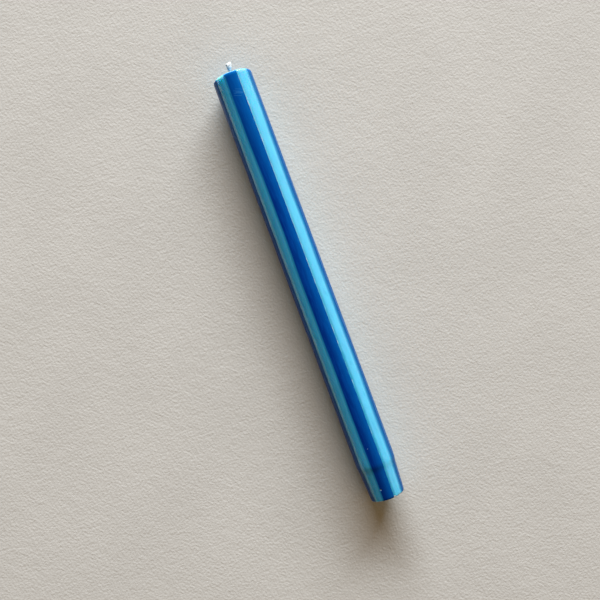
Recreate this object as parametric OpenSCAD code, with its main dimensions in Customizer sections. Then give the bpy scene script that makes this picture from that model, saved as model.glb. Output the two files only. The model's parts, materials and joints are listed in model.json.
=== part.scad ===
// Striped dinner candle lying on its side: light blue wax with dark blue stripes let into it,
// and a braided cotton wick through its whole length.
// The candle lies along X with its wick towards +X and touches the ground at Z = 0.
// The origin is on the ground, below the middle of the overall length.

/* [Shank] */
// Diameter of the straight shank
shank_d = 22; // [14:0.5:40]
// Length of the wax, from the base to the wick end
wax_length = 245; // [100:1:400]
// Radius of the rounded edge at the wick end
rim_r = 1.2; // [0.3:0.1:3]

/* [Foot] */
// Length of the foot's cone
foot_length = 17; // [8:0.5:40]
// How much the foot's radius shrinks along its cone, down to the base
foot_taper = 1; // [0.2:0.1:3]
// Length of the sloping shoulder between foot and shank
shoulder_length = 2.5; // [0.5:0.1:5]
// How far the shoulder steps in from the shank to the foot
shoulder_step = 0.5; // [0.1:0.1:1.5]
// Radius of the rounded edge at the base
foot_rim_r = 0.8; // [0.2:0.1:2]

/* [Stripes] */
// Number of dark stripes around the candle
stripe_count = 5; // [2:1:8]
// Angle that one dark stripe covers, in degrees
stripe_angle = 36; // [10:1:44]
// Turn of the first stripe's middle from straight up, in degrees
stripe_turn = -3; // [-36:0.5:36]
// Depth of the dark wax
stripe_depth = 0.8; // [0.4:0.1:3]
// Light rim left between the stripes and the wick end
stripe_margin = 0.5; // [0.3:0.1:10]

/* [Wick] */
// Diameter of the braided wick
wick_d = 1.8; // [1:0.1:5]
// Length of the wick beyond the wax
wick_free = 8.2; // [6:0.1:20]
// Diameter of the loosened tip
wick_tip_d = 3; // [2:0.1:6]
// Lean of the free wick to the side, in degrees
wick_lean = 5.5; // [3:0.5:10]

/* [Hidden] */
$fn = 96;

shank_r = shank_d / 2;
wick_r = wick_d / 2;
// The leaning end starts a little thinner than the wick, inside its straight root
wick_neck_r = 0.95 * wick_r;
overall_length = wax_length + wick_free;
shoulder_end = foot_length + shoulder_length;
foot_top_r = shank_r - shoulder_step;
foot_base_r = foot_top_r - foot_taper;
light_blue = [0.42, 0.82, 0.96];
dark_blue = [0.02, 0.27, 0.58];
cotton_white = [0.93, 0.94, 0.92];
// How far cutting shapes run past the faces that they cut
overcut = 1;

// Lays an upright candle, base at the origin and wick up, along X on the ground
module lay_down() {
    translate([-overall_length / 2, 0, shank_r]) rotate([0, 90, 0]) children();
}

// The corner that a round of radius r takes off, with the corner's tip at the origin
// and the material towards -X and -Y
module corner_waste(r) {
    translate([-r, -r]) difference() {
        square(r + overcut);
        circle(r);
    }
}

// Half section of the wax: distance from the middle of the wick along X, height along Y
module wax_section() {
    difference() {
        polygon([
            [wick_r, 0],
            [foot_base_r, 0],
            [foot_top_r, foot_length],
            [shank_r, shoulder_end],
            [shank_r, wax_length],
            [wick_r, wax_length],
        ]);
        translate([shank_r, wax_length]) corner_waste(rim_r);
        foot_round_waste();
    }
}

// The corner that the round takes off the base, where the cone's side leans outward
module foot_round_waste() {
    lean = atan2(foot_taper, foot_length);
    // Distance from the corner to where the round touches the base and the side
    touch = foot_rim_r * tan((90 - lean) / 2);
    difference() {
        polygon([
            [foot_base_r - touch, -overcut],
            [foot_base_r + overcut, -overcut],
            [foot_base_r + overcut, touch * cos(lean)],
            [foot_base_r + touch * sin(lean), touch * cos(lean)],
            [foot_base_r - touch, foot_rim_r],
            [foot_base_r - touch, 0],
        ]);
        translate([foot_base_r - touch, foot_rim_r]) circle(foot_rim_r);
    }
}

// Half section of the pocket for a stripe, open to the outside and to the base
module pocket_section() {
    outside = shank_r + overcut;
    polygon([
        [foot_base_r - stripe_depth, -overcut],
        [outside, -overcut],
        [outside, wax_length - stripe_margin],
        [shank_r - stripe_depth, wax_length - stripe_margin],
        [shank_r - stripe_depth, shoulder_end],
        [foot_top_r - stripe_depth, foot_length],
        [foot_base_r - stripe_depth, 0],
    ]);
}

// Sweeps a half section through the angle of stripe k, counted from the stripe nearest the top
module stripe_sweep(k) {
    middle = 180 + stripe_turn + (k - 1) * 360 / stripe_count;
    rotate([0, 0, middle - stripe_angle / 2]) rotate_extrude(angle = stripe_angle) children();
}

// Light blue wax with a pocket for each stripe and a hole for the wick
module candle_body() {
    color(light_blue) lay_down() difference() {
        rotate_extrude() wax_section();
        for (k = [1 : stripe_count]) stripe_sweep(k) pocket_section();
    }
}

// Dark blue wax that fills one pocket, flush with the body
module dark_stripe(k) {
    color(dark_blue) lay_down() stripe_sweep(k) intersection() {
        wax_section();
        pocket_section();
    }
}

// Free end of the wick, from the wick end of the wax at the origin: straight out for a short
// root, then leaning and loosening towards a tip that is cut square to the candle
module free_wick() {
    root = wick_d * tan(wick_lean);
    run = (wick_free - root) / cos(wick_lean);
    flare = (wick_tip_d / 2 - wick_neck_r) / run;
    // Extra length, so that the square cut reaches right across the leaning tip
    spare = wick_tip_d * tan(wick_lean) + overcut;
    cylinder(r = wick_r, h = 2 * root);
    difference() {
        translate([0, 0, root]) rotate([0, wick_lean, 0])
            cylinder(r1 = wick_neck_r, r2 = wick_neck_r + flare * (run + spare), h = run + spare);
        translate([-wick_free, -wick_free, wick_free]) cube(2 * wick_free);
    }
}

// Braided cotton from the base to the loosened tip, leaning to the candle's right
module wick() {
    color(cotton_white) lay_down() {
        cylinder(r = wick_r, h = wax_length);
        translate([0, 0, wax_length]) rotate([0, 0, -90]) free_wick();
    }
}

candle_body();
for (k = [1 : stripe_count])
    dark_stripe(k);
wick();
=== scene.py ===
"""Striped dinner candle lying on its side: light blue wax, five dark blue stripes, a braided wick."""

import json
import math
import random

import bmesh
import bpy
from mathutils import Matrix, Vector, noise


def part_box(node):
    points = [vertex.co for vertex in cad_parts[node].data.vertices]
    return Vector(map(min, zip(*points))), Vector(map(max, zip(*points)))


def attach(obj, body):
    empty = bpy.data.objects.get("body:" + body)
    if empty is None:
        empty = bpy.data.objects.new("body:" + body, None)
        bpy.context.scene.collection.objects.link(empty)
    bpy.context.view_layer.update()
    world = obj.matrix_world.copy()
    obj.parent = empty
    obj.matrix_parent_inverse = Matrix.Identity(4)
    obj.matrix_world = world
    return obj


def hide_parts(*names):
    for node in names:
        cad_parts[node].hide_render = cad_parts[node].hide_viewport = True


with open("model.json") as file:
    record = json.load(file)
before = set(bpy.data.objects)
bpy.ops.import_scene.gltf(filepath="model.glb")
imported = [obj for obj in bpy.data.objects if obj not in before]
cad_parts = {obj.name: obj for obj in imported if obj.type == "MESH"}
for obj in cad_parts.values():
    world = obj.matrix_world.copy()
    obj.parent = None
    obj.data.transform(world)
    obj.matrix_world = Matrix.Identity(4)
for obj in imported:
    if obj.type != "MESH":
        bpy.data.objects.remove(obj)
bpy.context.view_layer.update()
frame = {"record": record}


# Camera: it hangs 40 cm above the lying candle and looks almost straight down.
# The candle leans 20 degrees to the left in the picture, with its wick at the top.
camera_place = Vector((-0.00788, 0.01181, 0.40381))
camera_target = Vector((-0.00934, 0.00769, 0))
candle_lean = math.radians(20.457)
lens_mm = 42.88
sensor_mm = 36

looking = (camera_target - camera_place).normalized()
picture_up = Vector((math.cos(candle_lean), -math.sin(candle_lean), 0))
picture_right = looking.cross(picture_up).normalized()
camera_turn = Matrix((picture_right, picture_right.cross(looking), -looking)).transposed()
camera_data = bpy.data.cameras.new("camera")
camera_data.lens = lens_mm
camera_data.sensor_width = sensor_mm
camera = bpy.data.objects.new("camera", camera_data)
camera.matrix_world = Matrix.Translation(camera_place) @ camera_turn.to_4x4()
bpy.context.scene.collection.objects.link(camera)
bpy.context.scene.camera = camera
bpy.context.scene.view_settings.view_transform = "Standard"


# Candle body: light blue paraffin wax, cast in one piece round the wick, with a straight shank,
# a small shoulder and a coned foot that wedges into a holder.
# Five shallow grooves along it are filled with dark wax, so it shows as five light stripes.
shank = next(mount for mount in frame["record"]["mounts"] if mount["name"] == "shank")
shank_r = shank["dims"]["r_mm"] / 1000
shoulder_x = shank["pos_m"][0]
axis_z = shank["pos_m"][2]
base_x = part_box("candle_body")[0].x
wick_end_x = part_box("candle_body")[1].x
stripe_end_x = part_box("dark_stripe_1")[1].x
shoulder_length = 0.0025
shoulder_step = 0.0005
foot_taper = 0.001
foot_top_x = shoulder_x - shoulder_length
foot_top_r = shank_r - shoulder_step
foot_base_r = foot_top_r - foot_taper
bore_r = 0.0006
rim_r = 0.0012
foot_rim_r = 0.0008
shoulder_round = 0.0012
collar_r = 0.0024
collar_height = 0.0009
crease = math.radians(50)

stripe_count = 5
stripe_turn = math.radians(-3)
sector_count = 2 * stripe_count
sector_angle = math.tau / sector_count
first_edge = stripe_turn - sector_angle / 2
stripe_width = sector_angle * shank_r
steps_in_sector = 12
shank_cuts = 230
foot_cuts = 16
end_face_cuts = 9
same_place = 1e-6
merge_distance = 1e-7
side_lean = 0.03
groove_depth = 0.0006
groove_edge_depth = 0.00005
groove_slope_width = 0.0014
soft_wander = 0.0006
crisp_wander = 0.00006
wander_length = 0.0294
wander_row = 139.69
wander_row_step = 7.3
ragged = 0.0001
ragged_length = 0.003
ragged_row_step = 5.3
ragged_layer = 9
swell = 0.00003
swells_per_metre = 120
uneven_edges = {0: -0.0003, 1: 0.00009, 2: -0.0002, 9: 0.00057}
edges_pushed_at_wick = {2: 0.0009}
push_start_x = wick_end_x - 0.036
push_full_x = wick_end_x - 0.02


def angle_round_axis(point):
    """Angle round the candle from the first dark stripe's edge, from 0 to a full turn."""
    return (math.atan2(-point.y, point.z - axis_z) - first_edge) % math.tau


def outward(angle):
    """Direction away from the candle's axis, at an angle to its right from straight up."""
    return Vector((0, -math.sin(angle), math.cos(angle)))


def distance_from_axis(point):
    """Distance of a point from the candle's axis."""
    return math.hypot(point.y, point.z - axis_z)


def edge_stray(edge, x):
    """How far the line between two stripes strays sideways at x. Even ones are soft and stray more."""
    slow = noise.noise(Vector((x / wander_length, wander_row + edge * wander_row_step, 0)))
    pushed = min(1, max(0, (x - push_start_x) / (push_full_x - push_start_x)))
    place = uneven_edges.get(edge, 0) + edges_pushed_at_wick.get(edge, 0) * pushed
    if edge % 2 == 0:
        return place + soft_wander * slow
    quick = noise.noise(Vector((x / ragged_length, edge * ragged_row_step, ragged_layer)))
    return place + crisp_wander * slow + ragged * quick


def ring_edges(wax, x, radius):
    """The edges that run round the candle at x and that radius."""
    def on_ring(vert):
        off_x = abs(vert.co.x - x)
        off_r = abs(distance_from_axis(vert.co) - radius)
        return max(off_x, off_r) < same_place
    return [edge for edge in wax.edges if all(on_ring(vert) for vert in edge.verts)]


def cast_wax():
    """The whole candle's wax in one skin, with the dark faces tagged by stripe number from 1."""
    wax = bmesh.new()
    outline = [
        (base_x, bore_r),
        (base_x, foot_base_r),
        (foot_top_x, foot_top_r),
        (shoulder_x, shank_r),
        (wick_end_x, shank_r),
        (wick_end_x, bore_r),
    ]
    axis_point = Vector((0, 0, axis_z))
    corners = [wax.verts.new(Vector((x, 0, axis_z)) + outward(first_edge) * r) for x, r in outline]
    sides = [wax.edges.new((a, b)) for a, b in zip(corners, corners[1:] + corners[:1])]
    bmesh.ops.spin(
        wax,
        geom=corners + sides,
        cent=axis_point,
        axis=(1, 0, 0),
        angle=math.tau,
        steps=sector_count * steps_in_sector,
        use_merge=True,
    )
    bmesh.ops.remove_doubles(wax, verts=wax.verts, dist=merge_distance)
    rounds = [
        (wick_end_x, shank_r, rim_r, 8),
        (base_x, foot_base_r, foot_rim_r, 6),
        (shoulder_x, shank_r, shoulder_round, 3),
        (foot_top_x, foot_top_r, shoulder_round, 3),
    ]
    for x, radius, size, segments in rounds:
        bmesh.ops.bevel(
            wax,
            geom=ring_edges(wax, x, radius),
            offset=size,
            segments=segments,
            profile=0.5,
            affect="EDGES",
            material=-1,
        )
    divide_lengthwise(wax, shoulder_x - base_x, shank_cuts)
    divide_lengthwise(wax, foot_rim_r * 2, foot_cuts)
    divide_end_faces(wax, end_face_cuts)
    bmesh.ops.bisect_plane(
        wax,
        geom=wax.verts[:] + wax.edges[:] + wax.faces[:],
        plane_co=(stripe_end_x, 0, 0),
        plane_no=(1, 0, 0),
    )
    bmesh.ops.recalc_face_normals(wax, faces=wax.faces)
    stripe_tag = wax.faces.layers.int.new("stripe")
    for face in wax.faces:
        face[stripe_tag] = stripe_number(face)
    shape_skin(wax)
    wax.normal_update()
    return wax


def divide_lengthwise(wax, longer_than, cuts):
    """Divides the skin's edges along the candle that are longer than that."""
    long_edges = [
        edge
        for edge in wax.edges
        if abs(edge.verts[0].co.x - edge.verts[1].co.x) > longer_than
        and distance_from_axis(edge.verts[0].co) > foot_base_r / 2
    ]
    bmesh.ops.subdivide_edges(wax, edges=long_edges, cuts=cuts, use_grid_fill=True)


def divide_end_faces(wax, cuts):
    """Divides the spokes of the two end faces into rings."""
    spokes = [
        edge
        for edge in wax.edges
        if abs(edge.verts[0].co.x - edge.verts[1].co.x) < merge_distance
        and edge.calc_length() > foot_base_r / 2
    ]
    bmesh.ops.subdivide_edges(wax, edges=spokes, cuts=cuts, use_grid_fill=True)


def shape_skin(wax):
    """Lets the stripes' edges stray, dips the skin a little and draws the wax up the wick.

    Each vertex also keeps how far it lies across its stripe, from the soft edge to the crisp one."""
    across = wax.verts.layers.float.new("across")
    for vert in wax.verts:
        vert[across] = stripe_width / 2
        radius = distance_from_axis(vert.co)
        if radius > foot_base_r - 2 * foot_rim_r:
            sector = angle_round_axis(vert.co) / sector_angle
            edge = math.floor(sector)
            share = sector - edge
            if base_x + same_place < vert.co.x < wick_end_x - same_place:
                vert[across] = stripe_width * (1 - share if edge % 2 else share)
            before = edge_stray(edge % sector_count, vert.co.x)
            after = edge_stray((edge + 1) % sector_count, vert.co.x)
            turn = Matrix.Rotation((before + (after - before) * share) / shank_r, 3, "X")
            axis_point = Vector((vert.co.x, 0, axis_z))
            dip = swell * (0.5 + 0.5 * noise.noise(vert.co * swells_per_metre))
            vert.co = axis_point + turn @ (vert.co - axis_point) * (1 - dip / shank_r)
        elif vert.co.x > wick_end_x - rim_r:
            rise = max(0, 1 - (radius - bore_r) / (collar_r - bore_r))
            vert.co.x += collar_height * rise * rise


def stripe_number(face):
    """Number of the dark stripe that a face of the straight skin belongs to, or 0 for light wax."""
    middle = face.calc_center_median()
    sector = math.floor(angle_round_axis(middle) / sector_angle)
    away = Vector((0, middle.y, middle.z - axis_z)).normalized()
    on_side = face.normal.dot(away) > side_lean
    if sector % 2 or middle.x > stripe_end_x or not on_side:
        return 0
    return sector // 2 + 1


def sink(shape, verts, extra):
    """Sinks copied vertices to the groove's floor, which slopes up to an edge on both sides."""
    across = shape.verts.layers.float["across"]
    for vert in verts:
        from_edge = min(vert[across], stripe_width - vert[across])
        slope = min(1, max(0, from_edge / groove_slope_width))
        vert.co -= vert.normal * (groove_edge_depth + (groove_depth - groove_edge_depth) * slope + extra)


def cut_grooves(wax):
    """Sinks the dark faces into the wax."""
    stripe_tag = wax.faces.layers.int["stripe"]
    grooves = [face for face in wax.faces if face[stripe_tag]]
    sunk = bmesh.ops.extrude_face_region(wax, geom=grooves)["geom"]
    bmesh.ops.delete(wax, geom=grooves, context="FACES")
    sink(wax, [item for item in sunk if isinstance(item, bmesh.types.BMVert)], 0)


def finish_piece(shape, name, node, material):
    """Makes an object of a shape that stands for one node, with smooth faces and crisp creases."""
    bmesh.ops.recalc_face_normals(shape, faces=shape.faces)
    for edge in shape.edges:
        edge.smooth = edge.calc_face_angle(0) < crease
    for face in shape.faces:
        face.smooth = True
    mesh = bpy.data.meshes.new(name)
    shape.to_mesh(mesh)
    shape.free()
    mesh.materials.append(material)
    piece = bpy.data.objects.new(name, mesh)
    bpy.context.scene.collection.objects.link(piece)
    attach(piece, "root")
    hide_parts(node)


def paint(red, green, blue):
    """A colour as a paint chart gives it, from 0 to 255, as the shader's own numbers."""
    def linear(level):
        share = level / 255
        return share / 12.92 if share < 0.04045 else ((share + 0.055) / 1.055) ** 2.4
    return (linear(red), linear(green), linear(blue), 1)


class Field:
    """A number, colour or direction that changes over a surface. Sums on it add maths nodes."""

    def __init__(self, nodes, socket):
        self.nodes = nodes
        self.socket = socket

    def maths(self, operation, *terms):
        """The result of a maths node on these terms."""
        return self.nodes.node("ShaderNodeMath", {"operation": operation}, dict(enumerate(terms)))

    def __add__(self, other):
        return self.maths("ADD", self, other)

    def __sub__(self, other):
        return self.maths("SUBTRACT", self, other)

    def __rsub__(self, other):
        return self.maths("SUBTRACT", other, self)

    def __mul__(self, other):
        return self.maths("MULTIPLY", self, other)

    def __abs__(self):
        return self.maths("ABSOLUTE", self)

    __radd__ = __add__
    __rmul__ = __mul__

    def step(self, start, end):
        """A smooth step from 0 at start to 1 at end, where end may be the lower one."""
        sockets = {"Value": self, "From Min": start, "From Max": end}
        return self.nodes.node("ShaderNodeMapRange", {"interpolation_type": "SMOOTHSTEP"}, sockets)


class Nodes:
    """The nodes of a material or of the room, written as sums on fields."""

    def __init__(self, tree):
        self.tree = tree

    def node(self, kind, settings=None, sockets=None, output=0):
        """One output of a new node, which gets its settings and then its sockets' values or links."""
        made = self.tree.nodes.new(kind)
        for name, value in (settings or {}).items():
            setattr(made, name, value)
        for name, value in (sockets or {}).items():
            self.plug(made.inputs[name], value)
        return Field(self, made.outputs[output])

    def plug(self, socket, value):
        """Sets a socket's value, or links a field to it."""
        if isinstance(value, Field):
            self.tree.links.new(value.socket, socket)
        else:
            socket.default_value = value


class Finish(Nodes):
    """One material, with the fields of its surface."""

    def __init__(self, name, **constants):
        self.material = bpy.data.materials.new(name)
        self.material.use_nodes = True
        super().__init__(self.material.node_tree)
        self.shader = self.tree.nodes["Principled BSDF"]
        for socket, value in constants.items():
            self.shader.inputs[socket.replace("_", " ")].default_value = value
        self.place = self.node("ShaderNodeTexCoord", output="Object")

    def along(self, axis):
        """Place along one axis, in metres."""
        return self.node("ShaderNodeSeparateXYZ", None, {"Vector": self.place}, output=axis)

    def cloud(self, size, detail=2, stretch=1):
        """Soft noise with lumps of that size in metres, drawn out along the candle."""
        scale = {"Vector": self.place, "Scale": (1 / stretch, 1, 1)}
        drawn_out = self.node("ShaderNodeMapping", None, scale)
        sockets = {"Vector": drawn_out, "Scale": 1 / size, "Detail": detail}
        return self.node("ShaderNodeTexNoise", None, sockets)

    def mix(self, share, first, second):
        """The first colour where share is 0, and the second where it is 1."""
        sockets = {0: share, 6: first, 7: second}
        return self.node("ShaderNodeMix", {"data_type": "RGBA"}, sockets, output=2)

    def mark(self, place, size, core=0.6):
        """1 on the core of a round mark of that size about a place, and 0 beside the mark."""
        sockets = {0: self.place, 1: place}
        away = self.node("ShaderNodeVectorMath", {"operation": "DISTANCE"}, sockets, output="Value")
        return away.step(size, size * core)

    def lay_on(self, colour, roughness, height, depth):
        """Gives the shader its colour, its roughness and a relief of that depth in metres."""
        relief = self.node("ShaderNodeBump", None, {"Height": height, "Distance": depth})
        self.plug(self.shader.inputs["Base Color"], colour)
        self.plug(self.shader.inputs["Roughness"], roughness)
        self.plug(self.shader.inputs["Normal"], relief)


light_wax = Finish(
    "light_wax",
    IOR=1.5,
    Specular_IOR_Level=0.25,
    Subsurface_Weight=0.8,
    Subsurface_Radius=(0.12, 0.8, 1),
    Subsurface_Scale=0.004,
    Coat_IOR=1.65,
    Coat_Roughness=0.04,
)
wax_x = light_wax.along("X")
wax_y = light_wax.along("Y")
from_end = wick_end_x - wax_x
soft_gap = light_wax.node("ShaderNodeAttribute", {"attribute_name": "across"}, output="Fac")
crisp_gap = stripe_width - soft_gap
mottle = light_wax.cloud(0.0035, detail=3, stretch=5)
bloom = light_wax.cloud(0.02, detail=2, stretch=3)
streak = light_wax.cloud(0.0011, detail=2, stretch=4)
scuff = light_wax.cloud(0.0011, detail=3, stretch=7)
toward_foot = wax_x.step(0.04, -0.06)
light_blue = light_wax.mix(mottle.step(0.3, 0.7), paint(82, 190, 227), paint(92, 198, 235))
light_blue = light_wax.mix(bloom.step(0.35, 0.75) * 0.25, light_blue, paint(100, 198, 226))
light_blue = light_wax.mix(streak.step(0.5, 0.72) * 0.35, light_blue, paint(52, 166, 206))
# Lighter toward the wick end: a painted highlight along the candle
light_blue = light_wax.mix(wax_x.step(base_x, wick_end_x) * 0.5, light_blue, paint(104, 202, 232))

# Painted shade: the side away from the window is painted a deeper blue, and a painted glow of light coming
# through the wax lies on it at the wick end
shaded_side = wax_y.step(0.001, 0.006)
light_blue = light_wax.mix(shaded_side * 0.9, light_blue, paint(66, 185, 238))
painted_glow = from_end.step(0.006, 0.0024) * shaded_side
light_blue = light_wax.mix(painted_glow * 0.8, light_blue, paint(4, 218, 246))

# The rounded rim is painted pale, a painted highlight that is brightest on the shaded side, and most of its
# gloss is worn off
rim = from_end.step(0.0026, 0.001) * from_end.step(0.0002, 0.0007)
painted_rim_highlight = light_wax.mix(shaded_side, paint(146, 198, 224), paint(200, 254, 255))
light_blue = light_wax.mix(rim * 0.8, light_blue, painted_rim_highlight)
dull_rim = from_end.step(0.0014, 0.0008)
light_wax.plug(light_wax.shader.inputs["Coat Weight"], 1 - dull_rim * 0.85)

# Painted shade lies beside the crisp edges, stronger toward the foot, and dark wax has run into the soft
# ones
painted_edge_shade = crisp_gap.step(0.0021, 0.0004) * (0.3 + toward_foot * 0.6)
light_blue = light_wax.mix(painted_edge_shade, light_blue, paint(8, 150, 192))
soft_reach = 0.001 + wax_y.step(-0.003, -0.008) * 0.0009
light_blue = light_wax.mix(soft_gap.step(soft_reach, 0), light_blue, paint(40, 150, 212))

# The flat face round the wick is painted a deeper blue, painted shade that holds back the window's light on
# it
end_face = from_end.step(0.00008, 0.00001)
end_tone = light_wax.cloud(0.0024, detail=4).step(0.35, 0.65)
shaded_end_blue = light_wax.mix(end_tone, paint(40, 128, 168), paint(58, 150, 186))
light_blue = light_wax.mix(end_face, light_blue, shaded_end_blue)

# The crisp edges are scuffed along the shank, and a thin painted highlight runs along them, stronger toward
# the wick end
on_shank = wax_x.step(foot_top_x, shoulder_x + shoulder_length)
on_shank = on_shank * from_end.step(0.001, 0.004)
scuffs_and_highlight = (1 - toward_foot) * 0.2 + scuff.step(0.58, 0.66) * 0.6
scuffs_and_highlight = crisp_gap.step(0.0007, 0.0003) * scuffs_and_highlight * on_shank
light_blue = light_wax.mix(scuffs_and_highlight, light_blue, paint(186, 222, 236))

# A pale fleck sits on the edge of the base
fleck_size = 0.001
fleck_x = base_x + 0.0003
fleck_angle = math.radians(18)
fleck_r = foot_base_r - 0.0002
fleck_place = Vector((fleck_x, 0, axis_z)) + outward(fleck_angle) * fleck_r
fleck = light_wax.mark(fleck_place, fleck_size)
light_blue = light_wax.mix(fleck * 0.9, light_blue, paint(205, 230, 240))

light_wax.lay_on(
    colour=light_blue,
    roughness=0.2 + mottle * 0.08,
    height=streak * 0.5 + mottle * 0.5,
    depth=0.00003,
)

skin = cast_wax()
body = skin.copy()
cut_grooves(body)
finish_piece(body, "light_wax_body", "candle_body", light_wax.material)


# Dark stripes: five strips of dark blue wax that fill the body's grooves from the base to just
# under the wick end. They stand a hair proud of the body. One edge of each is crisp, and at the
# other the two waxes have run into each other.
stripe_proud = 0.00003

dark_wax = Finish("dark_wax", IOR=1.45, Specular_IOR_Level=0.14, Specular_Tint=(0.2, 0.6, 1, 1))
stripe_x = dark_wax.along("X")
stripe_y = dark_wax.along("Y")
run_in = dark_wax.node("ShaderNodeAttribute", {"attribute_name": "across"}, output="Fac")
dark_streak = dark_wax.cloud(0.0014, detail=3, stretch=6)
patch = dark_wax.cloud(0.012, detail=2, stretch=2)
specks = dark_wax.cloud(0.0009, detail=1).step(0.74, 0.8)
worn_edge = run_in.step(stripe_width - 0.0012, stripe_width)
worn_edge = worn_edge * dark_wax.cloud(0.0012, detail=2, stretch=4).step(0.5, 0.65)
dark_blue = dark_wax.mix(dark_streak.step(0.35, 0.7), paint(1, 47, 132), paint(2, 62, 149))
dark_blue = dark_wax.mix(patch.step(0.4, 0.7) * 0.4, dark_blue, paint(1, 47, 125))
# Lighter toward the wick end, and darker toward the base and on the foot: a painted highlight and painted
# shade along the candle
dark_blue = dark_wax.mix(stripe_x.step(0.03, wick_end_x) * 0.5, dark_blue, paint(3, 88, 166))
dark_blue = dark_wax.mix(stripe_x.step(0, base_x) * 0.5, dark_blue, paint(1, 36, 112))
dark_blue = dark_wax.mix(stripe_x.step(shoulder_x, foot_top_x) * 0.4, dark_blue, paint(1, 45, 122))

# It pales toward its crisp edge, painted light that copies the shading across the top stripe, and at the
# soft one the light wax has run in
dark_blue = dark_wax.mix(run_in.step(0.2 * stripe_width, stripe_width) * 0.5, dark_blue, paint(3, 100, 168))
run_reach = 0.0009 + stripe_y.step(-0.003, -0.008) * 0.0007
dark_blue = dark_wax.mix(run_in.step(run_reach, 0), dark_blue, paint(36, 142, 193))
# Lighter on the side toward the window: a painted highlight
dark_blue = dark_wax.mix(stripe_y.step(-0.004, -0.0085) * 0.45, dark_blue, paint(4, 104, 152))

# It is thin at its end under the rim, and worn along its crisp edge
stripe_end = stripe_x.step(stripe_end_x - 0.002, stripe_end_x - 0.0003)
dark_blue = dark_wax.mix(stripe_end * 0.6, dark_blue, paint(8, 118, 200))
dark_blue = dark_wax.mix(worn_edge * 0.3 + specks * 0.25, dark_blue, paint(40, 130, 195))

# Hairline scratches across the top stripe, a centimetre below the wick end
scratch_count = 6
scratch_slope = -0.37
scratch_core = 0.6
scratch_random = random.Random(7)
scratches = 0
for _ in range(scratch_count):
    scratch_x = wick_end_x - scratch_random.uniform(0.0102, 0.0142)
    slope = scratch_slope + scratch_random.uniform(-0.05, 0.05)
    middle_y = scratch_random.uniform(-0.0008, 0.0012)
    half_length = scratch_random.uniform(0.002, 0.0034)
    line = abs(stripe_x + stripe_y * slope - scratch_x).step(0.0002, 0.00005)
    scratches = scratches + line * abs(stripe_y - middle_y).step(half_length, half_length * scratch_core)
on_top = dark_wax.along("Z").step(axis_z, axis_z + shank_r / 2)
dark_blue = dark_wax.mix(scratches * on_top * 0.27, dark_blue, paint(70, 150, 205))

# A chip near the base shows the light wax under the first stripe, and a speck lies above it
chip_size = 0.0006
chip_depth = 0.0002
chip_cuts = 4
chip_ragged = 0.3
chip_lumps = 1.5
chip_x = base_x + 0.0065
chip_angle = first_edge + math.radians(3.8)
chip_r = foot_base_r + (foot_top_r - foot_base_r) * (chip_x - base_x) / (foot_top_x - base_x)
chip_place = Vector((chip_x, 0, axis_z)) + outward(chip_angle) * chip_r
speck_size = 0.00035
speck_x = -0.0966
speck_angle = math.radians(-10)
speck_place = Vector((speck_x, 0, axis_z)) + outward(speck_angle) * shank_r
dark_blue = dark_wax.mix(dark_wax.mark(chip_place, chip_size), dark_blue, paint(124, 164, 198))
dark_blue = dark_wax.mix(dark_wax.mark(speck_place, speck_size) * 0.5, dark_blue, paint(120, 165, 205))
dark_wax.lay_on(
    colour=dark_blue,
    roughness=0.22 + dark_streak * 0.1,
    height=dark_wax.cloud(0.0012, detail=3, stretch=2) * 0.4 + dark_streak * 0.6,
    depth=0.00005,
)


def break_chip(shape):
    """Breaks the chip out of the shape's surface, with a ragged outline."""
    near = [face for face in shape.faces if (face.calc_center_median() - chip_place).length < 2 * chip_size]
    edges = {edge for face in near for edge in face.edges}
    bmesh.ops.subdivide_edges(shape, edges=list(edges), cuts=chip_cuts, use_grid_fill=True)
    for vert in shape.verts:
        away = vert.co - chip_place
        lump = noise.noise(away / chip_size * chip_lumps)
        reach = chip_size * (1 - chip_ragged / 2 + chip_ragged * lump)
        if away.length < reach:
            vert.co -= outward(chip_angle) * chip_depth * math.sqrt(1 - away.length / reach)


for number in range(1, stripe_count + 1):
    stripe = skin.copy()
    stripe_tag = stripe.faces.layers.int["stripe"]
    other = [face for face in stripe.faces if face[stripe_tag] != number]
    bmesh.ops.delete(stripe, geom=other, context="FACES")
    stripe.normal_update()
    for vert in stripe.verts:
        vert.co += vert.normal * stripe_proud
    sunk = bmesh.ops.extrude_face_region(stripe, geom=stripe.faces[:], use_keep_orig=True)["geom"]
    sink(stripe, [item for item in sunk if isinstance(item, bmesh.types.BMVert)], stripe_proud)
    if number == 1:
        break_chip(stripe)
    node = f"dark_stripe_{number}"
    finish_piece(stripe, f"dark_wax_stripe_{number}", node, dark_wax.material)


# Wick: eight cotton yarns plaited round a ninth, from the base through the whole candle.
# It is cast into the wax and cut flush at the base. Beyond the wax it leans a little, wax has
# soaked its root, and its bare white tip has come loose and is cut a little slantwise.
wick_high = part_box("wick")[1]
wick_r = 0.0009
yarn_r = 0.00026
core_r = 0.00055
core_swell = 1.3
core_back = 0.75
core_knots = 6
yarns_each_way = 4
plait_r = wick_r - yarn_r
plait_weave = 0.0001
plait_pitch = 0.0055
points_in_turn = 14
wick_lean = math.radians(3.6)
lean_start_x = wick_end_x + 0.0002
flare_start_x = wick_end_x + 0.0032
tip_flare = 2.2
root_share = 0.75
root_ease = 0.01
tip_over = 0.0004
tip_end_x = wick_high.x + tip_over
tip_slant = 0.0008
tip_round = 0.0006
tip_tilt = 0.002
cut_end = 0.001
cut_proud = 0.00002
cut_segments = 32
fibre_count = 850
fibre_length = 0.0032
fibre_share = 0.42
fibre_point = 0.7
fibre_fill = 0.95
fibre_stray = 0.25
wick_random = random.Random(11)


def wick_middle(x):
    """Middle of the wick at x."""
    return Vector((x, -math.tan(wick_lean) * max(0, x - lean_start_x), axis_z))


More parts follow.
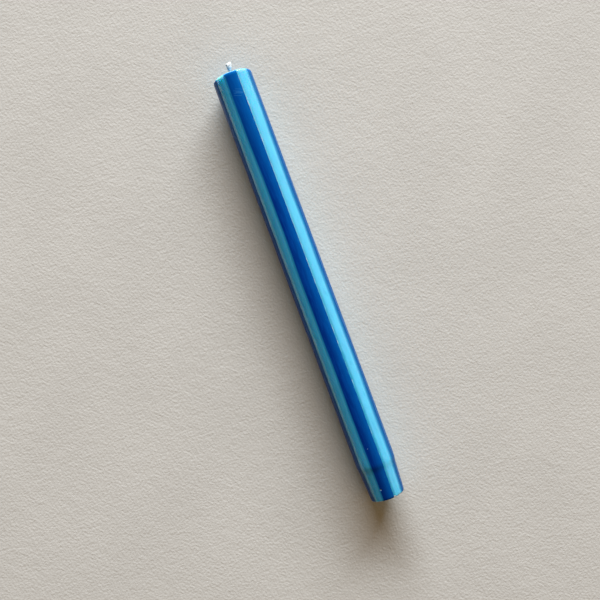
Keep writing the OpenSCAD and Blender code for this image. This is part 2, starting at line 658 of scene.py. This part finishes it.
def wick_spread(x):
    """How much wider the plait is at x than inside the wax. It is drawn in where it leaves the wax."""
    drawn_in = 1 - (1 - root_share) * min(1, max(0, x / wick_end_x - 1 + root_ease) / root_ease)
    loosened = min(1, max(0, x - flare_start_x) / (tip_end_x - flare_start_x))
    return drawn_in + (tip_flare - root_share) * loosened


def tip_x(off):
    """Where the slanting cut ends the wick, that far from its middle."""
    share = off / (wick_r * tip_flare)
    slant = tip_slant * (0.5 + 0.5 * share.y) + tip_round * share.y**2
    return tip_end_x - slant - tip_tilt * max(0, share.z)


def yarn_point(x, way, place):
    """Place at x of a yarn that winds one way round, and passes over and under the others."""
    turn = math.tau * (x - base_x) / plait_pitch
    weave = way * plait_weave * math.cos(yarns_each_way * turn)
    around = way * turn + place * math.tau / yarns_each_way
    return wick_middle(x) + outward(around) * (plait_r - plait_weave + weave) * wick_spread(x)


wick_curve = bpy.data.curves.new("cotton_wick", "CURVE")
wick_curve.dimensions = "3D"
wick_curve.bevel_depth = yarn_r
wick_curve.bevel_resolution = 1
wick_curve.use_fill_caps = True


def lay_yarn(points, thickness):
    """Adds a yarn through these points, each with its thickness as a share of a plain yarn."""
    spline = wick_curve.splines.new("POLY")
    spline.points.add(len(points) - 1)
    for knot, point, share in zip(spline.points, points, thickness):
        knot.co = (*point, 1)
        knot.radius = share


# The plaited yarns, and the thicker one inside them
yarn_start_x = base_x + cut_end / 2
point_count = round((tip_end_x - base_x) / plait_pitch * points_in_turn)
for way in (-1, 1):
    for place in range(yarns_each_way):
        end_off = yarn_point(tip_end_x, way, place) - wick_middle(tip_end_x)
        end_x = tip_x(end_off) - wick_random.uniform(0.0003, 0.0006)
        xs = [yarn_start_x + (end_x - yarn_start_x) * i / point_count for i in range(point_count + 1)]
        lay_yarn([yarn_point(x, way, place) for x in xs], [wick_spread(x) for x in xs])
core_end_x = tip_x(Vector()) - tip_tilt * core_back
core_xs = [yarn_start_x, lean_start_x]
core_xs += [flare_start_x + (core_end_x - flare_start_x) * i / core_knots for i in range(core_knots + 1)]
core_thickness = [wick_spread(x) ** core_swell * core_r / yarn_r for x in core_xs]
lay_yarn([wick_middle(x) for x in core_xs], core_thickness)

# Loose fibres fill the tip
for _ in range(fibre_count):
    around = wick_random.uniform(0, math.tau)
    radius = wick_r * fibre_fill * math.sqrt(wick_random.random())
    side = outward(around) * radius
    end_x = tip_x(side * tip_flare) + wick_random.uniform(-0.0003, 0.0001)
    points = []
    for share in (0, 0.5, 1):
        x = end_x - fibre_length * (1 - share)
        loose = Vector((0, wick_random.gauss(0, 1), wick_random.gauss(0, 1)))
        points.append(wick_middle(x) + side * wick_spread(x) + loose * yarn_r * fibre_stray * share)
    lay_yarn(points, [fibre_share, fibre_share, fibre_share * fibre_point])

cotton = Finish("cotton", IOR=1.45)
cotton_x = cotton.along("X")
soak_end_x = tip_end_x - 0.0021
soak_fade = 0.0009
soak_uneven = 0.0016
soaked = (cotton_x + cotton.cloud(0.0008) * soak_uneven).step(soak_end_x, soak_end_x - soak_fade)
thread = cotton.cloud(0.00012, detail=2, stretch=6)
cotton_white = cotton.mix(thread.step(0.3, 0.7), paint(246, 248, 245), paint(254, 254, 252))
cotton.lay_on(
    colour=cotton.mix(soaked * 0.9, cotton_white, paint(166, 212, 236)),
    roughness=0.9 - soaked * 0.5,
    height=thread,
    depth=0.00002,
)

wick_object = bpy.data.objects.new("cotton_wick_line", wick_curve)
bpy.context.scene.collection.objects.link(wick_object)
wick_shape = wick_object.evaluated_get(bpy.context.evaluated_depsgraph_get())
wick_mesh = bpy.data.meshes.new_from_object(wick_shape)
wick = bmesh.new()
wick.from_mesh(wick_mesh)
bpy.data.objects.remove(wick_object)
bmesh.ops.remove_doubles(wick, verts=wick.verts, dist=merge_distance)

# At the base the yarns end in one flush cut
cut_middle = Matrix.Translation((base_x - cut_proud + cut_end / 2, 0, axis_z))
bmesh.ops.create_cone(
    wick,
    cap_ends=True,
    segments=cut_segments,
    radius1=wick_r,
    radius2=wick_r,
    depth=cut_end,
    matrix=cut_middle @ Matrix.Rotation(math.pi / 2, 4, "Y"),
)
finish_piece(wick, "cotton_wick", "wick", cotton.material)


# Floor: a plain pale warm grey board, coated with plaster of a fine grain.
# The candle lies loose on it, and it is only the stage.
floor_half = 1.5
plaster = Finish("plaster", IOR=1.4, Specular_IOR_Level=0.2)
tone = plaster.cloud(0.05, detail=2)
grain = plaster.cloud(0.0014, detail=2)
plaster.lay_on(
    colour=plaster.mix(tone.step(0.3, 0.7), paint(203, 199, 191), paint(207, 203, 195)),
    roughness=0.8 + tone * 0.1,
    height=grain + plaster.cloud(0.006, detail=1) * 0.6,
    depth=0.0002,
)
board = bmesh.new()
bmesh.ops.create_grid(board, x_segments=1, y_segments=1, size=floor_half)
floor_mesh = bpy.data.meshes.new("floor")
board.to_mesh(floor_mesh)
board.free()
floor_mesh.materials.append(plaster.material)
floor = bpy.data.objects.new("floor", floor_mesh)
bpy.context.scene.collection.objects.link(floor)


# Light: one wide soft window beyond the wick, a little to the right, and a dim room
# that is darkest on the far side, to the left.
window_turn = math.radians(-22.5)
window_height = math.radians(19)
window_distance = 5
window_wide = 4.6
window_high = 1.6
window_watts = 675
window_colour = (0.92, 1, 1.1)
room_colour = (1.4, 0.97, 0.52, 1)
room_level = 0.235
far_level = 0.04

window_data = bpy.data.lights.new("window", "AREA")
window_data.shape = "RECTANGLE"
window_data.size = window_wide
window_data.size_y = window_high
window_data.energy = window_watts
window_data.color = window_colour
window = bpy.data.objects.new("window", window_data)
toward_window = Vector((math.cos(window_turn), math.sin(window_turn), math.tan(window_height))).normalized()
window.location = toward_window * window_distance
window.rotation_euler = toward_window.to_track_quat("Z", "Y").to_euler()
bpy.context.scene.collection.objects.link(window)
room = bpy.data.worlds.new("room")
room.use_nodes = True
room_nodes = Nodes(room.node_tree)
toward = room_nodes.node("ShaderNodeTexCoord", output="Generated")
leftward = room_nodes.node("ShaderNodeSeparateXYZ", None, {"Vector": toward}, output="Y")
far_side = leftward.step(-0.3, 0.75)
background = room.node_tree.nodes["Background"]
room_nodes.plug(background.inputs["Color"], room_colour)
room_strength = room_level - far_side * (room_level - far_level)
room_nodes.plug(background.inputs["Strength"], room_strength)
bpy.context.scene.world = room
